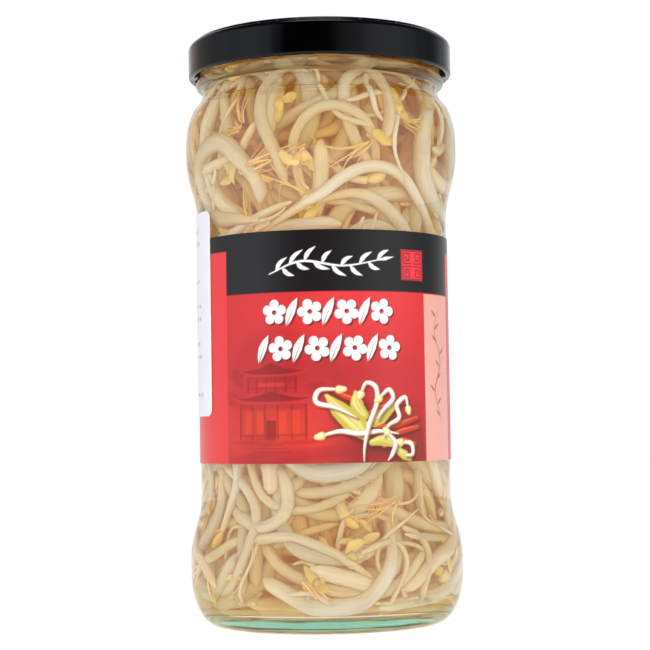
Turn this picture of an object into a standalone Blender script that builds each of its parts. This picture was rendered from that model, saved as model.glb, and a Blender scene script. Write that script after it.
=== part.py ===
"""A waisted glass jar of bean sprouts in brine, closed with a twist-off lid.

The origin is on the jar's axis at the plane that it stands on, +Z is up and the label faces -Y.
Run it with: blender --background --python part.py
"""

import math

import bmesh
import bpy
import numpy as np
from mathutils import Vector

MM = 0.001
COLLECTION = "jar_of_bean_sprouts"
SIDES = 40  # flat sides of every turned piece, so that the skins lie parallel to the glass
STEP_ANGLE = 360 / SIDES
GAP = 0.3 * MM  # between two pieces that touch

# The glass, by radius and height.
BULGE_R = 33.85 * MM
WAIST_R = 31.05 * MM
NECK_R = 29.5 * MM
FINISH_R = 30.2 * MM
BORE_R = 27.4 * MM
FOOT_R = 27.2 * MM
WALL = 2.2 * MM
LOW_BULGE_Z = (13.0 * MM, 16.5 * MM)
WAIST_Z = (32.0 * MM, 99.5 * MM)
HIGH_BULGE_Z = (116.0 * MM, 119.0 * MM)
NECK_Z = 131.1 * MM
BEAD_Z = 134.6 * MM
BEAD_R = 1.3 * MM
RIM_Z = 143.3 * MM
RIM_ROUND = 0.9 * MM
FLOOR_Z = 4.4 * MM
FLOOR_CROWN = 0.6 * MM
PUSH_UP = 1.5 * MM

# The thread is four ridges. A lug of the lid slides up one of them as the lid is turned off.
STARTS = 4
THREAD_TUBE_R = 1.1 * MM
THREAD_ARC = 72.0
QUARTER_TURN_RISE = 2.4 * MM
LUG_WIDTH = 4.4 * MM
LUG_TIP_R = 30.65 * MM
LUG_Z = (136.3 * MM, 138.0 * MM)
LUG_DEPTH = 1.7 * MM

# The lid.
SHEET = 0.3 * MM
LID_R = 33.3 * MM
LID_TOP_Z = 145.4 * MM
PANEL_Z = 144.2 * MM
BUTTON_DIP = 0.6 * MM
LID_SHOULDER = 2.0 * MM
CURL_R = 0.7 * MM
LID_FOOT_Z = 135.8 * MM
SEAL_R = (27.2 * MM, 31.6 * MM)

# The paper. Angles run from +X towards +Y, and the front of the label is at 270 degrees.
LABEL_Z = (40.0 * MM, 94.8 * MM)
LABEL_GAP = 0.1 * MM
PAPER = 0.15 * MM
LABEL_ANGLES = (99.0, 441.0)
STICKER_Z = (51.5 * MM, 102.8 * MM)
STICKER_ANGLES = (126.0, 207.0)

# The brine is a core inside the ring of sprouts, with a foot and a top disc as wide as the jar.
RING = 10.4 * MM
BRINE_FOOT_Z = 6.6 * MM
BRINE_CAP_Z = 134.6 * MM
BRINE_TOP_Z = 137.5 * MM

# The sprouts that lie against the glass.
SPROUTS = 40
SPROUT_SEED = 11
LINKS = 24
SPROUT_LENGTH = (40.0 * MM, 60.0 * MM)
SPROUT_R = (1.55 * MM, 2.2 * MM)
SPROUT_BEND = (40.0, 190.0)
SPROUT_CLEARANCE = 0.6 * MM
SETTLING_ROUNDS = 320
GOLDEN_ANGLE = math.pi * (3 - math.sqrt(5))


def arc(centre_r, centre_z, a, b, start, end, count):
    """Points (r, z) on an ellipse of half-axes a and b, from one angle to another in degrees."""
    turns = [math.radians(start + (end - start) * i / (count - 1)) for i in range(count)]
    return [(centre_r + a * math.cos(t), centre_z + b * math.sin(t)) for t in turns]


def eased(start, end, count):
    """Points (r, z) of an S-curve between two points that leaves and arrives upright."""
    shares = [i / (count - 1) for i in range(count)]
    ease = [(1 - math.cos(math.pi * s)) / 2 for s in shares]
    return [
        (start[0] + (end[0] - start[0]) * e, start[1] + (end[1] - start[1]) * s)
        for s, e in zip(shares, ease)
    ]


def inner_wall():
    """The inside of the glass from the middle of the floor to the bore, as (r, z)."""
    bulge, waist = BULGE_R - WALL, WAIST_R - WALL
    heel_width = 7.0 * MM
    shoulder_width = BULGE_R - FINISH_R + 1.2 * MM
    heel_height = LOW_BULGE_Z[0] - FLOOR_Z
    return [
        (0.0, FLOOR_Z + FLOOR_CROWN),
        (bulge - heel_width, FLOOR_Z),
        *arc(bulge - heel_width, LOW_BULGE_Z[0], heel_width, heel_height, -72, 0, 4),
        *eased((bulge, LOW_BULGE_Z[1]), (waist, WAIST_Z[0]), 5),
        *eased((waist, WAIST_Z[1]), (bulge, HIGH_BULGE_Z[0]), 5),
        *arc(bulge - shoulder_width, HIGH_BULGE_Z[1], shoulder_width, 10.0 * MM, 0, 82, 5),
        (BORE_R, NECK_Z),
    ]


def outer_wall():
    """The outside of the glass from the top of the neck finish down to the middle of the base."""
    shoulder_width = BULGE_R - FINISH_R + 1.2 * MM
    heel_width = BULGE_R - FOOT_R
    return [
        *arc(FINISH_R - BEAD_R + MM, BEAD_Z, BEAD_R, BEAD_R, 75, -75, 5),
        (NECK_R, NECK_Z),
        *arc(BULGE_R - shoulder_width, HIGH_BULGE_Z[1], shoulder_width, 10.8 * MM, 70, 0, 5),
        *eased((BULGE_R, HIGH_BULGE_Z[0]), (WAIST_R, WAIST_Z[1]), 5),
        *eased((WAIST_R, WAIST_Z[0]), (BULGE_R, LOW_BULGE_Z[1]), 5),
        *arc(FOOT_R, LOW_BULGE_Z[0], heel_width, LOW_BULGE_Z[0], 0, -90, 6),
        (FOOT_R - 1.8 * MM, 0.0),
        (FOOT_R - 3.2 * MM, 0.5 * MM),
        (0.0, PUSH_UP),
    ]


def material(name, colour, roughness, metallic=0.0, alpha=1.0):
    made = bpy.data.materials.new(name)
    made.use_nodes = True
    shader = made.node_tree.nodes["Principled BSDF"]
    shader.inputs["Base Color"].default_value = (*colour, 1.0)
    shader.inputs["Roughness"].default_value = roughness
    shader.inputs["Metallic"].default_value = metallic
    shader.inputs["Alpha"].default_value = alpha
    return made


def link(name, data, finish):
    made = bpy.data.objects.new(name, data)
    data.materials.append(finish)
    bpy.data.collections[COLLECTION].objects.link(made)
    return made


def outline(name, points):
    """A mesh of edges that joins points (r, z) in the plane of +X and +Z."""
    mesh = bpy.data.meshes.new(name)
    edges = [(i, i + 1) for i in range(len(points) - 1)]
    mesh.from_pydata([(r, 0.0, z) for r, z in points], edges, [])
    return mesh


def turned(name, points, finish, angle=360.0, start=0.0):
    """A profile turned about +Z. A profile that ends on the axis gives a closed body."""
    made = link(name, outline(name, points), finish)
    screw = made.modifiers.new("turn", "SCREW")
    screw.angle = math.radians(angle)
    screw.steps = screw.render_steps = round(angle / STEP_ANGLE)
    screw.use_merge_vertices = True
    screw.merge_threshold = 1e-6
    made.rotation_euler.z = math.radians(start)
    return made


def as_mesh(made):
    """The object's evaluated shape as a welded mesh object that a Boolean can use."""
    graph = bpy.context.evaluated_depsgraph_get()
    mesh = bpy.data.meshes.new_from_object(made.evaluated_get(graph))
    edit = bmesh.new()
    edit.from_mesh(mesh)
    bmesh.ops.remove_doubles(edit, verts=edit.verts, dist=1e-6)
    bmesh.ops.recalc_face_normals(edit, faces=edit.faces)
    edit.to_mesh(mesh)
    edit.free()
    name, place = made.name, made.matrix_world.copy()
    bpy.data.objects.remove(made)
    solid = bpy.data.objects.new(name, mesh)
    solid.matrix_world = place
    bpy.data.collections[COLLECTION].objects.link(solid)
    return solid


def join(base, added):
    """Joins a closed piece to base with a Boolean union, and leaves it out of the model."""
    added.hide_render = True
    added.display_type = "WIRE"
    union = base.modifiers.new("join_" + added.name, "BOOLEAN")
    union.operation = "UNION"
    union.object = added


def thread_ridge(index, finish):
    """One ridge of the thread, as a tube along a helix whose ends taper into the glass."""
    points, taper = 9, 0.55
    low_z = LUG_Z[1] + GAP + THREAD_TUBE_R
    curve = bpy.data.curves.new(f"thread_{index}", "CURVE")
    curve.dimensions = "3D"
    curve.bevel_depth = THREAD_TUBE_R
    curve.bevel_resolution = 1
    curve.use_fill_caps = True
    spline = curve.splines.new("POLY")
    spline.points.add(points - 1)
    for i, point in enumerate(spline.points):
        degrees = THREAD_ARC * i / (points - 1)
        turn = math.radians(degrees + 360 * index / STARTS)
        radius = FINISH_R + 0.2 * MM
        rise = QUARTER_TURN_RISE * degrees / 90
        point.co = (radius * math.cos(turn), radius * math.sin(turn), low_z + rise, 1.0)
        point.radius = taper if i in (0, points - 1) else 1.0
    return as_mesh(link(f"thread_{index}", curve, finish))


def glass_jar():
    finish = material("glass", (0.86, 0.94, 0.90), 0.05, alpha=0.35)
    rim = [
        *arc(BORE_R + RIM_ROUND, RIM_Z - RIM_ROUND, RIM_ROUND, RIM_ROUND, 180, 90, 3),
        *arc(FINISH_R - RIM_ROUND, RIM_Z - RIM_ROUND, RIM_ROUND, RIM_ROUND, 90, 0, 3),
    ]
    jar = turned("glass_jar", [*inner_wall(), *rim, *outer_wall()], finish)
    jar = as_mesh(jar)
    for index in range(STARTS):
        join(jar, thread_ridge(index, finish))
    return jar


def lid():
    """Pressed sheet: a panel that the vacuum draws down, a raised channel, a skirt and a curl."""
    finish = material("lid_lacquer", (0.012, 0.012, 0.014), 0.35)
    curl_centre = (LID_R - CURL_R, LID_FOOT_Z + CURL_R)
    shoulder = (LID_R - LID_SHOULDER, LID_TOP_Z - LID_SHOULDER)
    inner_round = LID_SHOULDER - SHEET
    panel = [
        (0.0, PANEL_Z - BUTTON_DIP),
        (6.0 * MM, PANEL_Z - 0.7 * BUTTON_DIP),
        (13.0 * MM, PANEL_Z),
        (24.8 * MM, PANEL_Z),
        (26.4 * MM, LID_TOP_Z),
    ]
    outside = [
        *panel,
        *arc(*shoulder, LID_SHOULDER, LID_SHOULDER, 90, 0, 4),
        *arc(*curl_centre, CURL_R, CURL_R, 0, -210, 7),
    ]
    inside = [
        *arc(*curl_centre, CURL_R - SHEET, CURL_R - SHEET, -210, 0, 5),
        *arc(*shoulder, inner_round, inner_round, 0, 90, 4),
        *[(r + (0.2 * MM if r else 0), z - SHEET) for r, z in reversed(panel)],
    ]
    made = as_mesh(turned("lid", [*outside, *inside], finish))
    for index in range(STARTS):
        join(made, lug(index, finish))
    return made


def lug(index, finish):
    """One lug, pressed inwards from the curl, which catches under a ridge of the thread."""
    half_angle = LUG_WIDTH / 2 / LUG_TIP_R
    turn = math.radians(360 * index / STARTS) + half_angle
    edit = bmesh.new()
    bmesh.ops.create_cube(edit, size=1.0)
    size = Vector((LUG_DEPTH, LUG_WIDTH, LUG_Z[1] - LUG_Z[0]))
    bmesh.ops.scale(edit, verts=edit.verts, vec=size)
    mesh = bpy.data.meshes.new(f"lug_{index}")
    edit.to_mesh(mesh)
    edit.free()
    made = link(f"lug_{index}", mesh, finish)
    radius = LUG_TIP_R + LUG_DEPTH / 2
    made.location = (radius * math.cos(turn), radius * math.sin(turn), sum(LUG_Z) / 2)
    made.rotation_euler.z = turn
    return made


def lid_seal():
    """The moulded ring that the lid presses on the rim of the glass."""
    finish = material("seal_compound", (0.75, 0.72, 0.66), 0.6)
    low, high = RIM_Z + GAP, LID_TOP_Z - SHEET - GAP
    inner, outer = SEAL_R
    section = [(inner, high), (outer, high), (outer, low), (inner, low), (inner, high)]
    return turned("lid_seal", section, finish)


def wrapped(name, heights, radius, thickness, angles, finish):
    """A strip of paper around the jar, laid parallel to the flat sides of the glass."""
    made = turned(
        name,
        [(radius, heights[1]), (radius, heights[0])],
        finish,
        angle=angles[1] - angles[0],
        start=angles[0],
    )
    shell = made.modifiers.new("paper", "SOLIDIFY")
    shell.thickness = thickness
    shell.offset = 1.0
    shell.use_even_offset = True
    return made


def paper():
    label_r = WAIST_R + LABEL_GAP
    sticker_r = label_r + PAPER + LABEL_GAP
    print_red = material("label_paper", (0.72, 0.03, 0.03), 0.4)
    white = material("sticker_paper", (0.85, 0.85, 0.88), 0.5)
    wrapped("label", LABEL_Z, label_r, PAPER, LABEL_ANGLES, print_red)
    wrapped("sticker", STICKER_Z, sticker_r, PAPER, STICKER_ANGLES, white)


def brine():
    """The liquid, as a spool: the sprouts that lie against the glass stand in its recess."""
    finish = material("brine", (0.85, 0.72, 0.45), 0.05, alpha=0.5)
    wall = [(r - RING, z) for r, z in inner_wall() if LOW_BULGE_Z[0] <= z < NECK_Z]
    foot_r = BULGE_R - WALL - 8.0 * MM
    core_foot = wall[0][0]
    profile = [
        (0.0, BRINE_TOP_Z),
        (BORE_R - GAP, BRINE_TOP_Z),
        (BORE_R - GAP, BRINE_CAP_Z),
        (BORE_R - RING, BRINE_CAP_Z),
        *reversed(wall),
        (core_foot, BRINE_FOOT_Z),
        (foot_r, BRINE_FOOT_Z),
        (foot_r, FLOOR_Z + 2 * GAP),
        (0.0, FLOOR_Z + FLOOR_CROWN + GAP),
    ]
    return turned("brine", profile, finish)


def sprout_radii(stem_r, along):
    """Radius along a sprout from its seed leaves at 0 to its root tip at 1."""
    marks = [0.0, 0.05, 0.13, 0.2, 0.3, 0.5, 0.72, 0.86, 1.0]
    head = [1.1, 2.2, 2.3, 1.35]
    stem = [0.85, 1.0, 0.9, 0.42, 0.2]
    values = [MM * h for h in head] + [stem_r * s for s in stem]
    return np.interp(along, marks, values)


def wall_radius(z):
    heights, radii = zip(*[(h, r) for r, h in inner_wall()[1:]])
    return np.interp(z, heights, radii)


def first_shapes(random, count):
    """Sprouts as bent lines on the wall, spread evenly over it. Returns points and radii."""
    along = np.linspace(0, 1, LINKS + 1)
    lowest, highest = BRINE_FOOT_Z + 3 * MM, BRINE_CAP_Z - 3 * MM
    points, radii = [], []
    for index in range(count):
        length = random.uniform(*SPROUT_LENGTH)
        bend = math.radians(random.uniform(*SPROUT_BEND)) * random.choice([-1, 1])
        heading = random.uniform(0, 2 * math.pi) + bend * (along - 0.5)
        step = length / LINKS
        across = np.cumsum(np.cos(heading)) * step
        up = np.cumsum(np.sin(heading)) * step
        share = (index + 0.5) / count
        middle_z = lowest + (highest - lowest) * share
        z = up - up.mean() + middle_z
        z += max(0, lowest - z.min()) - max(0, z.max() - highest)
        turn = index * GOLDEN_ANGLE + (across - across.mean()) / WAIST_R
        depth = RING * random.uniform(0.25, 0.75)
        radius = wall_radius(z) - depth
        points.append(np.stack([radius * np.cos(turn), radius * np.sin(turn), z], axis=1))
        radii.append(sprout_radii(random.uniform(*SPROUT_R), along))
    return np.array(points), np.array(radii)


def keep_length(points, rest, reach):
    """Moves points of each line so that those reach links apart are as far apart as at first."""
    for first in range(2 * reach):
        a, b = points[:, first::2 * reach], points[:, first + reach::2 * reach]
        count = b.shape[1]
        a, want = a[:, :count], rest[:, first::2 * reach][:, :count]
        across = b - a
        distance = np.linalg.norm(across, axis=2)
        push = across * ((distance - want) / np.maximum(distance, 1e-9) / 2)[..., None]
        a += push
        b -= push


def part_lines(points, radii, clearance):
    """Pushes apart the points of different lines that are nearer than their radii allow."""
    flat, size = points.reshape(-1, 3), radii.ravel() + clearance / 2
    line = np.repeat(np.arange(len(points)), points.shape[1])
    squares = (flat**2).sum(axis=1)
    apart = squares[:, None] + squares[None] - 2 * flat @ flat.T
    near = (apart < (size[:, None] + size[None]) ** 2) & (line[:, None] < line[None])
    i, j = np.nonzero(near)
    across = flat[j] - flat[i]
    distance = np.maximum(np.linalg.norm(across, axis=1), 1e-9)
    overlap = np.maximum(size[i] + size[j] - distance, 0)
    push = across * (overlap / distance / 2)[:, None]
    np.add.at(flat, i, -push)
    np.add.at(flat, j, push)


def keep_in_ring(points, radii):
    """Keeps the lines between the core of the brine and the glass."""
    margin = radii + GAP
    points[..., 2] = np.clip(
        points[..., 2], BRINE_FOOT_Z + margin, BRINE_CAP_Z - margin
    )
    distance = np.linalg.norm(points[..., :2], axis=2)
    wall = wall_radius(points[..., 2])
    slope = 0.25 * MM
    wanted = np.clip(distance, wall - RING + margin + slope, wall - margin - slope)
    points[..., :2] *= (wanted / distance)[..., None]


def settled_sprouts():
    """Centre lines and radii of the sprouts, settled until none touch each other."""
    random = np.random.default_rng(SPROUT_SEED)
    points, radii = first_shapes(random, SPROUTS)
    reaches = (1, 3, 8)
    rest = {k: np.linalg.norm(points[:, k:] - points[:, :-k], axis=2) for k in reaches}
    for settling in range(SETTLING_ROUNDS):
        grown = min(1.0, 0.2 + settling / (0.6 * SETTLING_ROUNDS))
        for reach in reversed(reaches):
            keep_length(points, rest[reach], reach)
        part_lines(points, radii * grown, SPROUT_CLEARANCE)
        keep_in_ring(points, radii)
    return points, radii


def sprouts():
    finish = material("bean_sprout", (0.80, 0.68, 0.46), 0.4)
    points, radii = settled_sprouts()
    for index, (line, sizes) in enumerate(zip(points, radii), start=1):
        curve = bpy.data.curves.new(f"sprout_{index:02d}", "CURVE")
        curve.dimensions = "3D"
        curve.bevel_depth = MM
        curve.bevel_resolution = 1
        curve.use_fill_caps = True
        spline = curve.splines.new("POLY")
        spline.points.add(LINKS // 2)
        for point, place, size in zip(spline.points, line[::2], sizes[::2]):
            point.co = (*place, 1.0)
            point.radius = size / MM
        link(curve.name, curve, finish)


def main():
    for old in list(bpy.data.objects):
        bpy.data.objects.remove(old)
    collection = bpy.data.collections.new(COLLECTION)
    bpy.context.scene.collection.children.link(collection)
    glass_jar()
    lid()
    lid_seal()
    paper()
    brine()
    sprouts()


main()
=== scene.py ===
"""The jar of bean sprouts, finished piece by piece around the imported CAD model, in a pale studio.

Every length in the model is in metres, in the frame of the CAD: the jar stands on z = 0, its axis
is +Z and the middle of its label faces -Y. Points on the label are given in millimetres as
(across, height), measured from the middle of the label and from the plane that the jar stands on.
"""

import math

import bmesh
import bpy
import numpy as np
from mathutils import Matrix, Vector


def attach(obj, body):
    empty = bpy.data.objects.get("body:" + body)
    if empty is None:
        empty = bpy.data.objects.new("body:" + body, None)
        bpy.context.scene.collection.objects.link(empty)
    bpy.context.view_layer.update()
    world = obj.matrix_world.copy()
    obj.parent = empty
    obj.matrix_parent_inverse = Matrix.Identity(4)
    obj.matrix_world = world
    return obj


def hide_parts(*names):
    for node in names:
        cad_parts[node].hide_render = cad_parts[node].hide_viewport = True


MM = 0.001
FULL_TURN = 2 * math.pi

# The camera, at the photograph's viewing angle.
CAMERA_DISTANCE = 456.2 * MM
CAMERA_HEIGHT = 48.67 * MM
CAMERA_LENS = 100.8
CAMERA_TILT_UP = 3.18
CAMERA_ROLL = 0.91
CAMERA_PAN = 0.048

# The glass, by radius and height, as in the CAD.
BULGE_R = 33.85 * MM
WAIST_R = 31.05 * MM
NECK_R = 29.5 * MM
FINISH_R = 30.2 * MM
BORE_R = 27.4 * MM
FOOT_R = 27.2 * MM
WALL = 2.2 * MM
LOW_BULGE_Z = (13.0 * MM, 16.5 * MM)
WAIST_Z = (32.0 * MM, 99.5 * MM)
HIGH_BULGE_Z = (116.0 * MM, 119.0 * MM)
SHOULDER_WIDTH = BULGE_R - FINISH_R + 1.2 * MM
HEEL_WIDTH = 7.0 * MM
NECK_Z = 131.1 * MM
BEAD_Z = 134.6 * MM
BEAD_R = 1.3 * MM
RIM_Z = 143.3 * MM
RIM_ROUND = 0.9 * MM
FLOOR_Z = 4.4 * MM
FLOOR_CROWN = 0.6 * MM
FOOT_ROUND = 0.9 * MM
PUSH_UP = 1.5 * MM
STARTS = 4
THREAD_TUBE_R = 1.1 * MM
THREAD_ARC = 72.0
QUARTER_TURN_RISE = 2.4 * MM
LUG_WIDTH = 4.4 * MM
LUG_TIP_R = 30.65 * MM
LUG_TOP_Z = 138.0 * MM
TURNED_SIDES = 224
FINE = 5

# The lid.
SHEET = 0.3 * MM
LID_R = 33.0 * MM
LID_TOP_Z = 145.4 * MM
PANEL_Z = 144.2 * MM
BUTTON_DIP = 0.6 * MM
CURL_R = 0.7 * MM
LID_FOOT_Z = 136.05 * MM

# The paper.
LABEL_Z = (40.0 * MM, 94.8 * MM)
LABEL_GAP = 0.1 * MM
PAPER = 0.15 * MM
LABEL_HALF_TURN = 171.0
LABEL_ROWS = 343
PRINT_STEP = 0.16
STICKER_Z = (51.5 * MM, 101.6 * MM)
STICKER_TURN = (-144.0, -60.0)

# The forty sprouts of the CAD, which lie against the glass. Their lines are settled as there.
RING = 10.4 * MM
GAP = 0.3 * MM
BRINE_FOOT_Z = 6.6 * MM
BRINE_CAP_Z = 134.6 * MM
SPROUTS = 40
SPROUT_SEED = 11
LINKS = 24
REACHES = (1, 3, 8)
SPROUT_LENGTH = (40.0 * MM, 60.0 * MM)
SPROUT_R = (1.55 * MM, 2.2 * MM)
SPROUT_BEND = (40.0, 190.0)
SPROUT_CLEARANCE = 0.6 * MM
SETTLING_ROUNDS = 320
GOLDEN_ANGLE = math.pi * (3 - math.sqrt(5))
SPROUT_RINGS = 58

# The sprouts that fill the rest of the jar.
MORE_SPROUTS = 540
MORE_SEED = 5
MORE_LENGTH = (38.0 * MM, 84.0 * MM)
MORE_R = (1.05 * MM, 2.45 * MM)
MORE_BEND = (60.0, 320.0)
MORE_ROUNDS = 130
MORE_GROUPS = 12
OUTER_SHARE = 0.66
LOW_SHARE = 7
CONTENTS_TOP_Z = 141.5 * MM
BRINE_OVERLAP = 0.08 * MM

# Loose bits between the sprouts.
FIBRE_TUFTS = 60
FIBRE_R = (0.14 * MM, 0.3 * MM)
THIN_ROOTS = 150
THIN_R = (0.4 * MM, 0.95 * MM)
LEAF_SHREDS = 84
COAT_SCRAPS = 40

# Colours of the contents, as linear values.
WHITE_FLESH = np.array([0.572, 0.51, 0.445])
WARM_FLESH = np.array([0.545, 0.43, 0.28])
# Painted shade for the sprouts that lie deep in the jar.
DEPTH_SHADE_FLESH = np.array([0.58, 0.39, 0.18])
LID_SHADE = np.array([0.36, 0.25, 0.12])
ROOT_BROWN = np.array([0.74, 0.50, 0.24])
LEAF_YELLOW = np.array([0.66, 0.46, 0.13])
LEAF_PALE = np.array([0.66, 0.53, 0.29])
SEED_COAT = np.array([0.30, 0.12, 0.03])
# Strength of the painted glow that the sprouts give off, in place of light passed through the heap.
PAINTED_GLOW = 0.25


# ---------------------------------------------------------------- profiles


def arc(centre_r, centre_z, a, b, start, end, count):
    """Points (r, z) on an ellipse of half-axes a and b, from one angle to another in degrees."""
    turns = [math.radians(start + (end - start) * i / (count - 1)) for i in range(count)]
    return [(centre_r + a * math.cos(t), centre_z + b * math.sin(t)) for t in turns]


def eased(start, end, count):
    """Points (r, z) of an S-curve between two points that leaves and arrives upright."""
    shares = [i / (count - 1) for i in range(count)]
    ease = [(1 - math.cos(math.pi * s)) / 2 for s in shares]
    return [
        (start[0] + (end[0] - start[0]) * e, start[1] + (end[1] - start[1]) * s)
        for s, e in zip(shares, ease)
    ]


def inner_wall(fine=1):
    """The inside of the glass from the middle of the floor to the bore, as (r, z)."""
    bulge, waist, shoulder = BULGE_R - WALL, WAIST_R - WALL, SHOULDER_WIDTH
    heel_height = LOW_BULGE_Z[0] - FLOOR_Z
    return [
        (0.0, FLOOR_Z + FLOOR_CROWN),
        (bulge - HEEL_WIDTH, FLOOR_Z),
        *arc(bulge - HEEL_WIDTH, LOW_BULGE_Z[0], HEEL_WIDTH, heel_height, -72, 0, 3 * fine + 1),
        *eased((bulge, LOW_BULGE_Z[1]), (waist, WAIST_Z[0]), 4 * fine + 1),
        *eased((waist, WAIST_Z[1]), (bulge, HIGH_BULGE_Z[0]), 4 * fine + 1),
        *arc(bulge - shoulder, HIGH_BULGE_Z[1], shoulder, 10.0 * MM, 0, 82, 4 * fine + 1),
        (BORE_R, NECK_Z),
    ]


def outer_wall(fine):
    """The outside of the glass from the top of the neck finish down to the middle of the base."""
    shoulder, round_r = SHOULDER_WIDTH, FOOT_ROUND
    heel = (BULGE_R - FOOT_R, LOW_BULGE_Z[0])
    return [
        *arc(FINISH_R - BEAD_R + MM, BEAD_Z, BEAD_R, BEAD_R, 75, -88, 4 * fine + 1),
        (NECK_R + 0.15 * MM, NECK_Z + 1.95 * MM),
        (NECK_R + 0.02 * MM, NECK_Z + 1.5 * MM),
        (NECK_R + 0.05 * MM, NECK_Z + 0.6 * MM),
        (NECK_R + 0.3 * MM, NECK_Z - 0.6 * MM),
        *arc(BULGE_R - shoulder, HIGH_BULGE_Z[1], shoulder, 10.8 * MM, 72, 0, 4 * fine + 1),
        *eased((BULGE_R, HIGH_BULGE_Z[0]), (WAIST_R, WAIST_Z[1]), 4 * fine + 1),
        *eased((WAIST_R, WAIST_Z[0]), (BULGE_R, LOW_BULGE_Z[1]), 4 * fine + 1),
        *arc(FOOT_R, LOW_BULGE_Z[0], *heel, 0, -90, 5 * fine + 1),
        *arc(FOOT_R - round_r, round_r, round_r, round_r, -90, -170, 2 * fine + 1),
        (FOOT_R - 3.2 * MM, 1.1 * MM),
        (FOOT_R - 9.0 * MM, PUSH_UP),
        (0.0, PUSH_UP + 0.3 * MM),
    ]


def with_waist_rows(outline, radius):
    """An outline with more rows on the straight of the waist, whichever way it runs."""
    rising = outline[0][1] < outline[-1][1]
    heights = np.linspace(WAIST_Z[0] + 2 * MM, WAIST_Z[1] - 2 * MM, 12)
    heights = heights if rising else heights[::-1]
    split = next(i for i, (_, z) in enumerate(outline) if (z > sum(WAIST_Z) / 2) == rising)
    return outline[:split] + [(radius, z) for z in heights] + outline[split:]


WALL_LINE = np.array(inner_wall()[1:])


def wall_radius(z):
    return np.interp(z, WALL_LINE[:, 1], WALL_LINE[:, 0])


def around_axis(radius, turn, z):
    return np.stack([radius * np.cos(turn), radius * np.sin(turn), z], axis=-1)


# ---------------------------------------------------------------- meshes


def new_mesh_object(name, points, faces, colours=None, lay=None):
    """A smooth mesh object. colours and lay are vectors per point for its material to read."""
    mesh = bpy.data.meshes.new(name)
    mesh.from_pydata([tuple(p) for p in points], [], faces)
    mesh.polygons.foreach_set("use_smooth", [True] * len(mesh.polygons))
    if colours is not None:
        rgba = np.insert(np.asarray(colours, np.float32), 3, 1, axis=1)
        mesh.attributes.new("tint", "FLOAT_COLOR", "POINT").data.foreach_set("color", rgba.ravel())
    if lay is not None:
        lay = np.asarray(lay, np.float32).ravel()
        mesh.attributes.new("lay", "FLOAT_VECTOR", "POINT").data.foreach_set("vector", lay)
    mesh.validate()
    made = bpy.data.objects.new(name, mesh)
    bpy.context.scene.collection.objects.link(made)
    return made


def ring_faces(rings, sides, flipped=False):
    """Four-sided faces between closed rings of points that follow each other."""
    i = np.arange(sides)
    j = (i + 1) % sides
    corners = (i, i + sides, j + sides, j) if flipped else (i, j, j + sides, i + sides)
    steps = sides * np.arange(rings - 1)[:, None, None]
    return (np.stack(corners, axis=1)[None] + steps).reshape(-1, 4).tolist()


def turned_mesh(name, profile, shape, sides=TURNED_SIDES):
    """A closed body turned about +Z from a profile whose first and last points are on the axis.

    shape moves the points of the rings: it takes and gives radius, turn and height arrays.
    """
    profile = np.array(profile)
    rings = profile[1:-1]
    turns = np.repeat(np.arange(sides)[None] * FULL_TURN / sides, len(rings), axis=0)
    radius, height = (np.repeat(rings[:, k:k + 1], sides, axis=1) for k in (0, 1))
    radius, height = shape(radius, turns, height)
    points = around_axis(radius, turns, height).reshape(-1, 3)
    first, last, end = len(points), len(points) + 1, len(points) - sides
    points = np.vstack([points, [[0, 0, profile[0, 1]], [0, 0, profile[-1, 1]]]])
    faces = ring_faces(len(rings), sides, flipped=True)
    for i in range(sides):
        j = (i + 1) % sides
        faces += [(first, i, j), (last, end + j, end + i)]
    made = new_mesh_object(name, points, faces)
    edit = bmesh.new()
    edit.from_mesh(made.data)
    bmesh.ops.recalc_face_normals(edit, faces=edit.faces)
    edit.to_mesh(made.data)
    edit.free()
    return made


# ---------------------------------------------------------------- materials


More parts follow.
